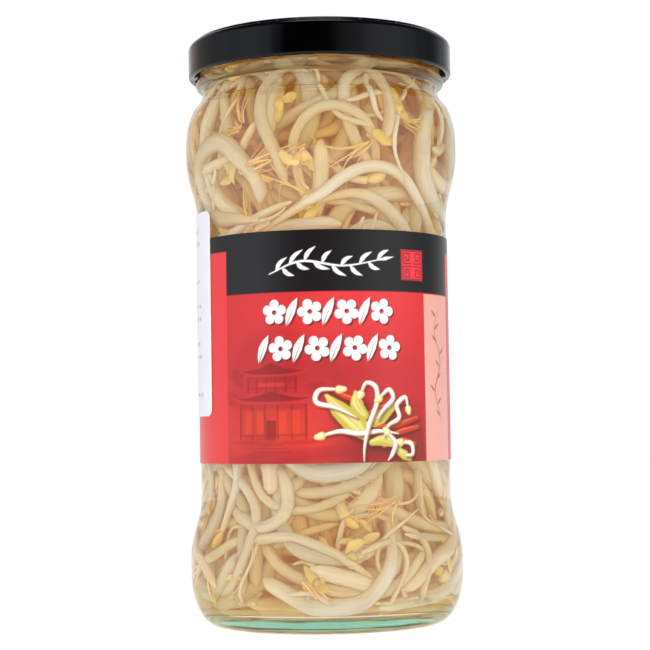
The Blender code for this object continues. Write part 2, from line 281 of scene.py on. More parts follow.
class Nodes:
    """A short way to write the nodes of a material or a world."""

    def __init__(self, owner):
        owner.use_nodes = True
        self.owner = owner
        self.tree = owner.node_tree
        self.shader = self.tree.nodes.get("Principled BSDF")
        self.output = self.tree.nodes.get("Material Output") or self.tree.nodes["World Output"]

    def add(self, kind, inputs=None, **settings):
        node = self.tree.nodes.new(kind)
        for key, value in settings.items():
            setattr(node, key, value)
        for key, value in (inputs or {}).items():
            self.put(node.inputs[key], value)
        return node

    def put(self, socket, value):
        if isinstance(value, bpy.types.NodeSocket):
            self.tree.links.new(value, socket)
        else:
            socket.default_value = value

    def set(self, **inputs):
        for key, value in inputs.items():
            self.put(self.shader.inputs[key.replace("_", " ")], value)

    def attribute(self, name, output="Color"):
        return self.add("ShaderNodeAttribute", attribute_name=name).outputs[output]

    def noise(self, scale, detail=4.0, vector=None, roughness=0.5):
        inputs = {"Scale": scale, "Detail": detail, "Roughness": roughness}
        inputs["Vector"] = vector or self.add("ShaderNodeTexCoord").outputs["Object"]
        return self.add("ShaderNodeTexNoise", inputs).outputs["Fac"]

    def scaled(self, vector, scale):
        inputs = {0: vector, 1: scale}
        return self.add("ShaderNodeVectorMath", inputs, operation="MULTIPLY").outputs[0]

    def ramp(self, value, stops, interpolation="LINEAR"):
        """Stops are (position, colour), and a colour is a level of grey or three values."""
        node = self.add("ShaderNodeValToRGB", {"Fac": value})
        ramp = node.color_ramp
        ramp.interpolation = interpolation
        ramp.elements[0].position = stops[0][0]
        ramp.elements[1].position = stops[-1][0]
        for position, _ in stops[1:-1]:
            ramp.elements.new(position)
        for element, (_, colour) in zip(ramp.elements, stops):
            element.color = (*np.broadcast_to(colour, 3).astype(float).tolist(), 1.0)
        return node.outputs["Color"]

    def span(self, value, low, high):
        inputs = {"Value": value, "To Min": low, "To Max": high}
        return self.add("ShaderNodeMapRange", inputs).outputs["Result"]

    def share_of(self, value, low, high):
        inputs = {"Value": value, "From Min": low, "From Max": high}
        return self.add("ShaderNodeMapRange", inputs).outputs["Result"]

    def blend(self, a, b, blend_type="MULTIPLY"):
        inputs = {"Factor": 1.0, "A": a, "B": b}
        node = self.add("ShaderNodeMix", inputs, data_type="RGBA", blend_type=blend_type)
        return node.outputs["Result"]

    def math(self, operation, a, b):
        return self.add("ShaderNodeMath", {0: a, 1: b}, operation=operation).outputs[0]

    def choose(self, share, a, b):
        return self.add("ShaderNodeMixShader", {0: share, 1: a, 2: b}).outputs[0]

    def bump(self, height, distance, strength):
        inputs = {"Height": height, "Distance": distance, "Strength": strength}
        self.put(self.shader.inputs["Normal"], self.add("ShaderNodeBump", inputs).outputs["Normal"])


def new_material(name, **inputs):
    nodes = Nodes(bpy.data.materials.new(name))
    nodes.set(**inputs)
    return nodes


def clear_material(name, ior, per_metre):
    """Glass or liquid. It tints light by the length of its path and gives no shadow."""
    white = (1, 1, 1, 1)
    nodes = new_material(name, Base_Color=white, Roughness=0.0, IOR=ior, Transmission_Weight=1.0)
    density = max(per_metre)
    colour = (*[1 - share / density for share in per_metre], 1.0)
    volume = nodes.add("ShaderNodeVolumeAbsorption", {"Color": colour, "Density": density})
    nodes.put(nodes.output.inputs["Volume"], volume.outputs[0])
    path = nodes.add("ShaderNodeLightPath").outputs
    clear = nodes.add("ShaderNodeBsdfTransparent", {"Color": white}).outputs["BSDF"]
    unbent = nodes.math("MAXIMUM", path["Is Shadow Ray"], path["Is Diffuse Ray"])
    surface = nodes.choose(unbent, nodes.shader.outputs["BSDF"], clear)
    nodes.put(nodes.output.inputs["Surface"], surface)
    return nodes


def glass_material():
    nodes = clear_material("glass_clear", 1.5, (21.0, 9.0, 14.0))
    nodes.bump(nodes.noise(38.0, 2.0), 0.00025, 0.35)
    return nodes.owner


def brine_material():
    return clear_material("brine_liquid", 1.333, (5.0, 21.0, 80.0)).owner


def sprout_material():
    """Wet, waxy flesh: light goes a little way into it, and fine strings run along it."""
    nodes = new_material("sprout_flesh", Specular_IOR_Level=0.15)
    nodes.set(Subsurface_Weight=0.9, Subsurface_Scale=0.004, Subsurface_Radius=(1.0, 0.75, 0.5))
    lay = nodes.attribute("lay", "Vector")
    strings = nodes.noise(1.0, 3.0, nodes.scaled(lay, (3.2, 0.10, 1.0)), 0.6)
    blotches = nodes.noise(1.0, 3.0, nodes.scaled(lay, (0.5, 0.12, 1.0)))
    shade = nodes.ramp(
        blotches, [(0.25, (0.92, 0.86, 0.74)), (0.52, (1.0, 0.99, 0.97)), (0.8, 1)]
    )
    streaks = nodes.ramp(strings, [(0.3, (0.91, 0.87, 0.79)), (0.6, 1)])
    flesh = nodes.blend(nodes.blend(nodes.attribute("tint"), shade), streaks)
    nodes.set(Base_Color=flesh, Roughness=nodes.span(strings, 0.4, 0.55))
    # Painted glow: the flesh gives off a little warm light of its own, in place of the light that
    # has wandered through the whole heap and reaches every sprout from all sides.
    nodes.set(Emission_Color=nodes.blend(flesh, (1.0, 0.64, 0.26, 1)), Emission_Strength=PAINTED_GLOW)
    nodes.bump(strings, 0.0001, 0.4)
    return nodes.owner


def lacquer_material():
    nodes = new_material("black_lacquer", Specular_IOR_Level=0.26)
    scuffs = nodes.noise(60.0, 6.0, roughness=0.7)
    black = nodes.ramp(scuffs, [(0.3, (0.0004, 0.0004, 0.0006)), (0.8, (0.0014, 0.0014, 0.0018))])
    nodes.set(Base_Color=black, Roughness=nodes.span(scuffs, 0.05, 0.11))
    nodes.bump(nodes.noise(900.0, 3.0), 0.00001, 0.2)
    return nodes.owner


def seal_material():
    nodes = new_material("seal_plastisol", Roughness=0.55)
    grain = nodes.noise(500.0)
    cream = nodes.ramp(grain, [(0.3, (0.62, 0.58, 0.50)), (0.7, (0.74, 0.71, 0.64))])
    nodes.set(Base_Color=cream)
    nodes.bump(grain, 0.00005, 0.3)
    return nodes.owner


def paper_material(name, roughness, grain_depth, sheen=0.5):
    nodes = new_material(name, Specular_IOR_Level=sheen)
    mottle = nodes.noise(180.0, 3.0)
    shade = nodes.ramp(mottle, [(0.2, 0.95), (0.8, 1)])
    nodes.set(Base_Color=nodes.blend(nodes.attribute("tint"), shade))
    nodes.set(Roughness=nodes.span(mottle, roughness - 0.04, roughness + 0.05))
    nodes.bump(nodes.noise(1400.0, 5.0), grain_depth, 0.4)
    return nodes.owner


# ---------------------------------------------------------------- the settled lines


def sprout_radii(stem_r, along):
    """Radius along a sprout from its seed leaves at 0 to its root tip at 1."""
    marks = [0.0, 0.05, 0.13, 0.2, 0.3, 0.5, 0.72, 0.86, 1.0]
    head = [1.1, 2.2, 2.3, 1.35]
    stem = [0.85, 1.0, 0.9, 0.42, 0.2]
    return np.interp(along, marks, [MM * h for h in head] + [stem_r * s for s in stem])


def walk(heading, step):
    """How far across and up a line has come after each equal step along its headings."""
    return np.cumsum(np.cos(heading)) * step, np.cumsum(np.sin(heading)) * step


def first_shapes(random):
    """Sprouts as bent lines on the wall, spread evenly over it. Returns points and radii."""
    along = np.linspace(0, 1, LINKS + 1)
    lowest, highest = BRINE_FOOT_Z + 3 * MM, BRINE_CAP_Z - 3 * MM
    points, radii = [], []
    for index in range(SPROUTS):
        length = random.uniform(*SPROUT_LENGTH)
        bend = math.radians(random.uniform(*SPROUT_BEND)) * random.choice([-1, 1])
        heading = random.uniform(0, FULL_TURN) + bend * (along - 0.5)
        across, up = walk(heading, length / LINKS)
        z = up - up.mean() + (lowest + (highest - lowest) * ((index + 0.5) / SPROUTS))
        z += max(0, lowest - z.min()) - max(0, z.max() - highest)
        turn = index * GOLDEN_ANGLE + (across - across.mean()) / WAIST_R
        radius = wall_radius(z) - RING * random.uniform(0.25, 0.75)
        points.append(around_axis(radius, turn, z))
        radii.append(sprout_radii(random.uniform(*SPROUT_R), along))
    return np.array(points), np.array(radii)


def link_lengths(points):
    return {k: np.linalg.norm(points[:, k:] - points[:, :-k], axis=2) for k in REACHES}


def keep_lengths(points, rest):
    """Moves points of each line so that those some links apart are as far apart as at first."""
    for reach in reversed(REACHES):
        for first in range(2 * reach):
            a, b = points[:, first::2 * reach], points[:, first + reach::2 * reach]
            count = b.shape[1]
            a, want = a[:, :count], rest[reach][:, first::2 * reach][:, :count]
            across = b - a
            distance = np.linalg.norm(across, axis=2)
            push = across * ((distance - want) / np.maximum(distance, 1e-9) / 2)[..., None]
            a += push
            b -= push


def part_lines(points, radii, clearance):
    """Pushes apart the points of different lines that are nearer than their radii allow."""
    flat, size = points.reshape(-1, 3), radii.ravel() + clearance / 2
    line = np.repeat(np.arange(len(points)), points.shape[1])
    squares = (flat**2).sum(axis=1)
    apart = squares[:, None] + squares[None] - 2 * flat @ flat.T
    near = (apart < (size[:, None] + size[None]) ** 2) & (line[:, None] < line[None])
    i, j = np.nonzero(near)
    across = flat[j] - flat[i]
    distance = np.maximum(np.linalg.norm(across, axis=1), 1e-9)
    overlap = np.maximum(size[i] + size[j] - distance, 0)
    push = across * (overlap / distance / 2)[:, None]
    np.add.at(flat, i, -push)
    np.add.at(flat, j, push)


def keep_in_ring(points, radii):
    """Keeps the lines between the core of the brine and the glass."""
    margin = radii + GAP
    points[..., 2] = np.clip(points[..., 2], BRINE_FOOT_Z + margin, BRINE_CAP_Z - margin)
    distance = np.linalg.norm(points[..., :2], axis=2)
    wall = wall_radius(points[..., 2])
    slope = 0.25 * MM
    wanted = np.clip(distance, wall - RING + margin + slope, wall - margin - slope)
    points[..., :2] *= (wanted / distance)[..., None]


def settled_sprouts():
    """Centre lines and radii of the sprouts, settled until none touch each other."""
    points, radii = first_shapes(np.random.default_rng(SPROUT_SEED))
    rest = link_lengths(points)
    for settling in range(SETTLING_ROUNDS):
        grown = min(1.0, 0.2 + settling / (0.6 * SETTLING_ROUNDS))
        keep_lengths(points, rest)
        part_lines(points, radii * grown, SPROUT_CLEARANCE)
        keep_in_ring(points, radii)
    return points, radii


def near_pairs(flat, line, reach):
    """Pairs of points of different lines that are nearer than reach, found cell by cell."""
    cells = np.floor(flat / reach).astype(np.int64)
    cells -= cells.min(axis=0) - 1
    sides = cells.max(axis=0) + 2
    key = (cells[:, 0] * sides[1] + cells[:, 1]) * sides[2] + cells[:, 2]
    order = np.argsort(key, kind="stable")
    sorted_key = key[order]
    found = []
    steps = [(0, 0, 0), (0, 0, 1)] + [(0, 1, c) for c in (-1, 0, 1)]
    steps += [(1, b, c) for b in (-1, 0, 1) for c in (-1, 0, 1)]
    for dx, dy, dz in steps:
        wanted = key + (dx * sides[1] + dy) * sides[2] + dz
        first = np.searchsorted(sorted_key, wanted, "left")
        count = np.searchsorted(sorted_key, wanted, "right") - first
        i = np.repeat(np.arange(len(flat)), count)
        inside = np.arange(count.sum()) - np.repeat(np.cumsum(count) - count, count)
        j = order[np.repeat(first, count) + inside]
        keep = line[i] != line[j]
        if (dx, dy, dz) == (0, 0, 0):
            keep &= i < j
        found.append(np.stack([i[keep], j[keep]]))
    i, j = np.concatenate(found, axis=1)
    near = np.linalg.norm(flat[i] - flat[j], axis=1) < reach
    return i[near], j[near]


def filling_shapes(random):
    """The sprouts that fill the jar, as bent lines anywhere in it. Returns points and radii."""
    along = np.linspace(0, 1, LINKS + 1)
    floor_z, top_z = FLOOR_Z + 1.2 * MM, CONTENTS_TOP_Z
    points, radii = [], []
    for index in range(MORE_SPROUTS):
        length = random.uniform(*MORE_LENGTH)
        bend = math.radians(random.uniform(*MORE_BEND)) * random.choice([-1, 1])
        sway = random.uniform(-0.6, 0.6)
        heading = random.uniform(0, FULL_TURN) + bend * (along - 0.5)
        heading = heading + sway * np.sin(FULL_TURN * along)
        middle_z = random.uniform(floor_z, top_z)
        if index % LOW_SHARE == 0:  # One in so many lies along the floor.
            heading = (heading - heading[0]) * 0.35 + random.choice([0, math.pi])
            middle_z = floor_z + random.uniform(1.5, 7) * MM
        across, up = walk(heading, length / LINKS)
        z = up - up.mean() + middle_z
        z += max(0, floor_z + 1.5 * MM - z.min()) - max(0, z.max() - top_z + 3 * MM)
        outer = random.uniform() < OUTER_SHARE  # These lie where they are seen.
        depth = random.uniform(0.05, 0.42) if outer else random.uniform(0.42, 1)
        radius = np.maximum(wall_radius(z) * (1 - depth), 3 * MM)
        turn = random.uniform(0, FULL_TURN)
        turn = turn + (across - across.mean()) / np.maximum(radius, 12 * MM)
        points.append(around_axis(radius, turn, z))
        thick = random.uniform(0, 1) ** 1.7
        radii.append(sprout_radii(MORE_R[0] + (MORE_R[1] - MORE_R[0]) * thick, along))
    return np.array(points), np.array(radii)


def filling_sprouts(fixed_points, fixed_radii):
    """Lines and radii of the sprouts that fill the jar, settled around the fixed ones."""
    points, radii = filling_shapes(np.random.default_rng(MORE_SEED))
    rest = link_lengths(points)
    everything = np.concatenate([fixed_points, points])
    size = np.concatenate([fixed_radii, radii]) + 0.05 * MM
    flat, size = everything.reshape(-1, 3), size.ravel()
    line = np.repeat(np.arange(len(everything)), LINKS + 1)
    still = line < len(fixed_points)
    points = everything[len(fixed_points):]
    margin = radii + 0.1 * MM
    for settling in range(MORE_ROUNDS):
        grown = min(1.0, 0.25 + settling / (0.6 * MORE_ROUNDS))
        keep_lengths(points, rest)
        if settling % 6 == 0:
            i, j = near_pairs(flat, line, 2 * size.max() + 1.2 * MM)
            keep = ~(still[i] & still[j])
            i, j = i[keep], j[keep]
        across = flat[j] - flat[i]
        distance = np.maximum(np.linalg.norm(across, axis=1), 1e-9)
        scale = np.where(still, 1.0, grown)
        overlap = np.maximum(size[i] * scale[i] + size[j] * scale[j] - distance, 0)
        push = across * (overlap / distance)[:, None]
        for one, other, way in ((i, j, -1), (j, i, 1)):
            give = np.where(still[one], 0.0, np.where(still[other], 0.9, 0.45))
            np.add.at(flat, one, way * push * give[:, None])
        z = np.clip(points[..., 2], FLOOR_Z + 0.8 * MM + margin, CONTENTS_TOP_Z - margin)
        points[..., 2] = z
        distance = np.linalg.norm(points[..., :2], axis=2)
        wanted = np.minimum(distance, wall_radius(z) - margin)
        points[..., :2] *= (wanted / np.maximum(distance, 1e-9))[..., None]
    return points, radii


# ---------------------------------------------------------------- sprouts


class Bundle:
    """Collects meshes, with a colour and a lay (around, along, which) at every point."""

    def __init__(self):
        self.points, self.faces, self.colours, self.lay, self.count = [], [], [], [], 0

    def add(self, points, faces, colours, lay):
        self.points.append(points)
        self.faces.extend([[self.count + i for i in face] for face in faces])
        self.colours.append(np.broadcast_to(colours, (len(points), 3)))
        self.lay.append(lay)
        self.count += len(points)

    def build(self, name, material):
        points, colours, lay = (np.vstack(rows) for rows in (self.points, self.colours, self.lay))
        made = new_mesh_object(name, points, self.faces, colours, lay)
        made.data.materials.append(material)
        return made


def mixed(a, b, share):
    return a * (1 - share) + b * share


def fade(value, width):
    """0 up to a value of 0 and 1 from the width on, as a column to mix colours by."""
    return np.clip(value / width, 0, 1)[:, None]


def smooth_line(line, count):
    """count points on a Catmull-Rom curve through the points of line."""
    padded = np.vstack([2 * line[0] - line[1], line, 2 * line[-1] - line[-2]])
    place = np.linspace(0, len(line) - 1 - 1e-9, count)
    start = place.astype(int)
    t = (place - start)[:, None]
    a, b, c, d = (padded[start + k] for k in range(4))
    return 0.5 * (
        2 * b + (c - a) * t + (2 * a - 5 * b + 4 * c - d) * t**2 + (3 * b - a - 3 * c + d) * t**3
    )


def frames_along(line):
    """Two directions across the line at every point, which turn with it without twisting."""
    along = np.gradient(line, axis=0)
    along /= np.linalg.norm(along, axis=1)[:, None]
    side = np.cross(along[0], [0.3, 0.5, 0.81])
    side /= np.linalg.norm(side)
    sides = []
    for direction in along:
        side = side - direction * (side @ direction)
        side = side / np.linalg.norm(side)
        sides.append(side)
    sides = np.array(sides)
    return along, sides, np.cross(along, sides)


def tube(bundle, line, radii, colours, which, sides=10, uneven=0.0, random=None, thin=1.0):
    """A tube along a line. thin below 1 flattens it in the direction away from the axis."""
    count = len(line)
    along, side, up = frames_along(line)
    if thin < 1:
        up = line * (1, 1, 0) / np.linalg.norm(line[:, :2], axis=1)[:, None]
        side = np.cross(along, up)
        side /= np.linalg.norm(side, axis=1)[:, None]
    turn = np.arange(sides) * FULL_TURN / sides
    radius = np.repeat(radii[:, None], sides, axis=1)
    length = np.concatenate([[0], np.cumsum(np.linalg.norm(np.diff(line, axis=0), axis=1))])
    if uneven:
        phase, second = random.uniform(0, FULL_TURN, 2)
        flat = np.cos(2 * turn[None] + phase + length[:, None] / (9 * MM))
        ribs = np.cos(5 * turn[None] + second)
        knots = np.interp(length, np.linspace(0, length[-1], 12), random.uniform(-1, 1, 12))
        radius = radius * (1 + uneven * (flat + 0.3 * ribs + 0.8 * knots[:, None]))
    points = (
        line[:, None]
        + side[:, None] * (radius * np.cos(turn))[..., None]
        + up[:, None] * (thin * radius * np.sin(turn))[..., None]
    ).reshape(-1, 3)
    ends = [list(reversed(range(sides))), list(range((count - 1) * sides, count * sides))]
    colours = np.repeat(np.broadcast_to(colours, (count, 3)), sides, axis=0)
    around = np.tile(6 * turn / FULL_TURN, count)
    lay = np.stack([around, np.repeat(length / MM, sides), np.full(len(points), which)], axis=1)
    bundle.add(points, ring_faces(count, sides) + ends, colours, lay)


def seed_leaf(bundle, base, along, across, size, colour, which, open_by):
    """One seed leaf: half a bean, domed outside and hollow inside, on a short stalk."""
    length, width, depth = size
    lean = math.cos(open_by) * along + math.sin(open_by) * np.cross(along, across)
    up = np.cross(lean, across)
    rows, columns = 9, 12
    points, lay = [], []
    for row in range(1, rows):
        t = math.pi * row / rows
        x = (1 - math.cos(t)) * length / 2
        droop = -0.18 * length * (x / length) ** 2
        for column in range(columns):
            turn = FULL_TURN * column / columns
            y, z = math.sin(t) * math.cos(turn), math.sin(t) * math.sin(turn)
            z = z * depth if z > 0 else z * depth * 0.25
            points.append(base + lean * x + across * (y * width / 2) + up * (z + droop))
            lay.append((6 * column / columns, x / MM, which))
    count = len(points)
    points += [base, base + lean * length - up * 0.18 * length]
    lay += [(0, 0, which), (0, length / MM, which)]
    faces = ring_faces(rows - 1, columns, flipped=True)
    last = count - columns
    faces += [(count, i, (i + 1) % columns) for i in range(columns)]
    faces += [(count + 1, last + (i + 1) % columns, last + i) for i in range(columns)]
    bundle.add(np.array(points), faces, colour, np.array(lay))


def sprout(bundle, line, radii, which, random, headed):
    """A whole sprout along its settled line: stem, root and, on some, a pair of seed leaves."""
    count = SPROUT_RINGS
    for _ in range(3):
        line = np.vstack([line[:1], (line[:-2] + 2 * line[1:-1] + line[2:]) / 4, line[-1:]])
    path = smooth_line(line, count)
    along = np.linspace(0, 1, count)
    warmth = 0.75 * random.uniform(0, 1) ** 1.3
    body = mixed(WHITE_FLESH, WARM_FLESH, warmth) * random.uniform(0.9, 1.08)
    root = (WARM_FLESH + ROOT_BROWN) / 2 * random.uniform(0.9, 1.1)
    blunt = random.uniform() < 0.55
    colours = mixed(body, root, fade(along - 0.7, 0.3) ** 1.3 * (0.3 if blunt else 0.85))
    colours = mixed(colours, LEAF_PALE, fade(0.22 - along, 0.14) * (0.9 if headed else 0.12))
    # Painted shade: deeper in the jar the sprouts are painted darker and warmer, for the light that
    # the brine and the heap take away on its way in and out.
    inward = wall_radius(path[:, 2]) - np.linalg.norm(path[:, :2], axis=1)
    colours = mixed(colours, DEPTH_SHADE_FLESH, 0.6 * fade(inward - 3.2 * MM, 6 * MM))
    colours = mixed(colours, LID_SHADE, 0.75 * fade(path[:, 2] - NECK_Z + 5 * MM, 9 * MM))
    shares = [*((0.5, 0.72) if headed else (0.72, 0.9)), 1.0, 1.04, 0.98]
    shares += (0.9, 0.78) if blunt else (0.62, 0.3)
    stem_r = radii[len(radii) // 2]
    size = stem_r * np.interp(along, [0.0, 0.08, 0.26, 0.5, 0.74, 0.9, 1.0], shares)
    end_round = np.sqrt(np.clip(np.arange(count) / 2.2, 0.1, 1))
    size = size * (1 if headed else end_round) * (end_round[::-1] if blunt else 1)
    neck = 7
    shown = slice(neck if headed else 0, count)
    tube(bundle, path[shown], size[shown], colours[shown], which, 12, 0.03, random)
    if not headed:
        return
    direction = path[0] - path[neck]
    direction /= np.linalg.norm(direction)
    across = np.cross(direction, random.normal(size=3))
    across /= np.linalg.norm(across)
    leaf = mixed(LEAF_YELLOW, LEAF_PALE, random.uniform(0.2, 0.8))
    length = random.uniform(3.8, 6.6) * MM
    width = random.uniform(1.8, 2.9) * MM
    for side in (1, -1):
        base = path[neck] + np.cross(direction, across) * 0.25 * MM * side
        size = (length * random.uniform(0.8, 1.0), width, 0.8 * MM)
        open_by = random.uniform(-0.05, 0.5)
        seed_leaf(bundle, base, direction, across * side, size, leaf, which, open_by)


def behind_glass(turn, across, depth, z):
    """A line at a depth behind the glass, from its way across and its height."""
    radius = wall_radius(z) - depth
    return around_axis(radius, turn + across / radius, z)


def fibre_tuft(bundle, random, which):
    """A tuft of thin roots and shreds of seed leaf, fanned out just behind the glass."""
    count = 14
    share = np.linspace(0, 1, count)
    turn = random.uniform(0, FULL_TURN)
    height = random.uniform(FLOOR_Z + 8 * MM, BRINE_CAP_Z - 6 * MM)
    heading = random.uniform(0, FULL_TURN)
    tone = mixed(ROOT_BROWN, LEAF_YELLOW, random.uniform(0, 1))
    depth = random.uniform(0.8, 2.6) * MM
    for _ in range(int(random.integers(5, 12))):
        length = random.uniform(6, 17) * MM
        bend = random.uniform(-1.6, 1.6)
        way = heading + random.uniform(-0.3, 0.3) + bend * share**1.5
        across, up = walk(way, length / count)
        across = across + random.uniform(-0.8, 0.8) * MM
        z = height + up + random.uniform(-0.8, 0.8) * MM
        z = np.clip(z, FLOOR_Z + 3 * MM, BRINE_CAP_Z - 2 * MM)
        sink = depth + random.uniform(-0.4, 0.8) * MM + 1.6 * MM * share**2
        size = random.uniform(*FIBRE_R) * np.interp(share, [0, 0.3, 1], [1, 1, 0.3])
        line = behind_glass(turn, across, sink, z)
        tube(bundle, line, size, tone * random.uniform(0.9, 1.15), which, 5)


def shred(bundle, random, which, turn, height, tone, length, half, depth):
    """A thin curled scrap, such as a torn seed leaf or a piece of seed coat."""
    count = 12
    share = np.linspace(0, 1, count)
    way = random.uniform(0, FULL_TURN) + random.uniform(-1.8, 1.8) * share
    across, up = walk(way, length / count)
    z = np.clip(height + up - up.mean(), FLOOR_Z + 3 * MM, BRINE_CAP_Z)
    curl = 0.8 * MM * np.sin(share * random.uniform(2, 6)) ** 2
    line = behind_glass(turn, across - across.mean(), depth + curl, z)
    size = half * np.interp(share, [0, 0.15, 0.5, 0.85, 1], [0.25, 0.8, 1, 0.6, 0.12])
    tube(bundle, line, size, tone * (0.85 + 0.3 * share[:, None]), which, 8, 0.14, random, 0.28)


def thin_root(bundle, random, which):
    """A single root or thin stem that winds between the sprouts near the glass."""
    count = 26
    share = np.linspace(0, 1, count)
    length = random.uniform(14, 38) * MM
    way = random.uniform(0, FULL_TURN) + random.uniform(-3.2, 3.2) * (share - 0.5)
    way = way + random.uniform(0.2, 0.8) * np.sin(share * random.uniform(5, 11))
    across, up = walk(way, length / count)
    z = up - up.mean() + random.uniform(FLOOR_Z, BRINE_CAP_Z)
    z = np.clip(z, FLOOR_Z + 3 * MM, BRINE_CAP_Z)
    depth = random.uniform(0.9, 3.0) * MM + 0.9 * MM * np.sin(share * random.uniform(4, 9))
    line = behind_glass(random.uniform(0, FULL_TURN), across, np.maximum(depth, 0.9 * MM), z)
    size = random.uniform(*THIN_R) * np.interp(share, [0, 0.1, 0.6, 1], [0.6, 1, 0.9, 0.35])
    tone = mixed(WARM_FLESH, WHITE_FLESH, random.uniform(0, 1)) * random.uniform(0.95, 1.05)
    tube(bundle, line, size, tone, which, 8, 0.05, random)


def make_fibres(material):
    random = np.random.default_rng(17)
    bundle = Bundle()
    for index in range(FIBRE_TUFTS):
        fibre_tuft(bundle, random, 700 + index)
    for index in range(THIN_ROOTS):
        thin_root(bundle, random, 800 + index)
    for index in range(LEAF_SHREDS):
        turn, height = random.uniform(0, FULL_TURN), random.uniform(12, 130) * MM
        tone = mixed(LEAF_PALE, LEAF_YELLOW, random.uniform(0, 1)) * random.uniform(0.85, 1.1)
        for _ in range(int(random.integers(1, 4))):
            size = (random.uniform(4, 9) * MM, random.uniform(0.7, 1.5) * MM)
            place = (turn + random.normal() * 0.06, height + random.normal() * 2 * MM)
            shred(bundle, random, 900 + index, *place, tone, *size, random.uniform(0.6, 2.6) * MM)
    for index in range(COAT_SCRAPS):
        turn, height = random.uniform(0, FULL_TURN), random.uniform(20, 132) * MM
        size = (random.uniform(2.5, 4.5) * MM, random.uniform(0.6, 1.3) * MM)
        tone = SEED_COAT * random.uniform(0.8, 1.8)
        depth = random.uniform(1.8, 4.2) * MM
        shred(bundle, random, 990 + index, turn, height, tone, *size, depth)
    made = bundle.build("root_fibres", material)
    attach(made, "jar")


def make_sprouts(material):
    random = np.random.default_rng(3)
    lines, radii = settled_sprouts()
    for index, (line, sizes) in enumerate(zip(lines, radii), start=1):
        bundle = Bundle()
        sprout(bundle, line, sizes, index, random, random.uniform() < 0.12)
        made = bundle.build(f"bean_sprout_{index:02d}", material)
        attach(made, "jar")
        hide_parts(f"sprout_{index:02d}")
    more_lines, more_radii = filling_sprouts(lines, radii)
    for group in range(MORE_GROUPS):
        bundle = Bundle()
        for index in range(group, MORE_SPROUTS, MORE_GROUPS):
            headed = random.uniform() < 0.16
            sprout(bundle, more_lines[index], more_radii[index], 50 + index, random, headed)
        made = bundle.build(f"filling_sprouts_{group + 1:02d}", material)
        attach(made, "jar")


# ---------------------------------------------------------------- glass, brine and lid


def wall_wave(radius, turns, height):
    """How far the pressed glass strays from true, in metres. It is true near the axis."""
    wave = np.sin(2 * turns + 60 * height) + 0.7 * np.sin(3 * turns - 110 * height + 1.3)
    return 0.07 * MM * wave * np.clip((radius - 20 * MM) / (8 * MM), 0, 1)


def thread_height(turns, height):
    """How far the four ridges of the thread stand out of the neck."""
    low_z = LUG_TOP_Z + GAP + THREAD_TUBE_R
    total = np.zeros_like(turns)
    for index in range(STARTS):
        degrees = np.degrees(turns) - 360 * index / STARTS
        degrees = (degrees + 20) % 360 - 20
        centre = low_z + QUARTER_TURN_RISE * degrees / 90
        ends = np.clip(np.minimum(degrees + 3, THREAD_ARC + 3 - degrees) / 8, 0, 1)
        ridge = np.sqrt(np.clip(1 - ((height - centre) / THREAD_TUBE_R) ** 2, 0, 1))
        total = np.maximum(total, ridge * ends * 1.25 * MM)
    return total


def make_glass(material):
    top = RIM_Z - RIM_ROUND
    inside = with_waist_rows(inner_wall(FINE), WAIST_R - WALL)
    inside += [(BORE_R, z) for z in np.linspace(NECK_Z + 3 * MM, top - MM, 4)]
    rim = [
        *arc(BORE_R + RIM_ROUND, top, RIM_ROUND, RIM_ROUND, 180, 90, 5),
        *arc(FINISH_R - RIM_ROUND, top, RIM_ROUND, RIM_ROUND, 90, 0, 5)[1:],
    ]
    finish = [(FINISH_R, z) for z in np.linspace(top - 0.2 * MM, BEAD_Z + 1.4 * MM, 30)]
    outside = with_waist_rows(outer_wall(FINE), WAIST_R)
    rows = len(inside) - 1

    def shape(radius, turns, height):
        radius = radius.copy()
        radius[:rows] += wall_wave(radius[:rows], turns[:rows], height[:rows])
        neck = (height[rows:] > BEAD_Z + 1.3 * MM) & (radius[rows:] >= FINISH_R - 1e-6)
        radius[rows:] += np.where(neck, thread_height(turns[rows:], height[rows:]), 0)
        return radius, height

    jar = turned_mesh("glass", [*inside, *rim, *finish, *outside], shape)
    jar.data.materials.append(material)
    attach(jar, "jar")
    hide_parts("glass_jar")


def make_brine(material):
    """The liquid, which laps a little into the glass so that no film of air shows between."""
    over, top = BRINE_OVERLAP, CONTENTS_TOP_Z
    inside = with_waist_rows(inner_wall(FINE), WAIST_R - WALL)
    profile = [(0.0, FLOOR_Z + FLOOR_CROWN - over)]
    profile += [(r + over, z - over / 2) for r, z in inside[1:]]
    profile += [(BORE_R + over, z) for z in np.linspace(NECK_Z + 3 * MM, top, 3)]
    profile += [(BORE_R - 2 * MM, top - 0.4 * MM), (0.0, top - 0.5 * MM)]

    def shape(radius, turns, height):
        return radius + wall_wave(radius, turns, height), height

    liquid = turned_mesh("brine_liquid", profile, shape)
    liquid.data.materials.append(material)
    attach(liquid, "jar")
    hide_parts("brine")


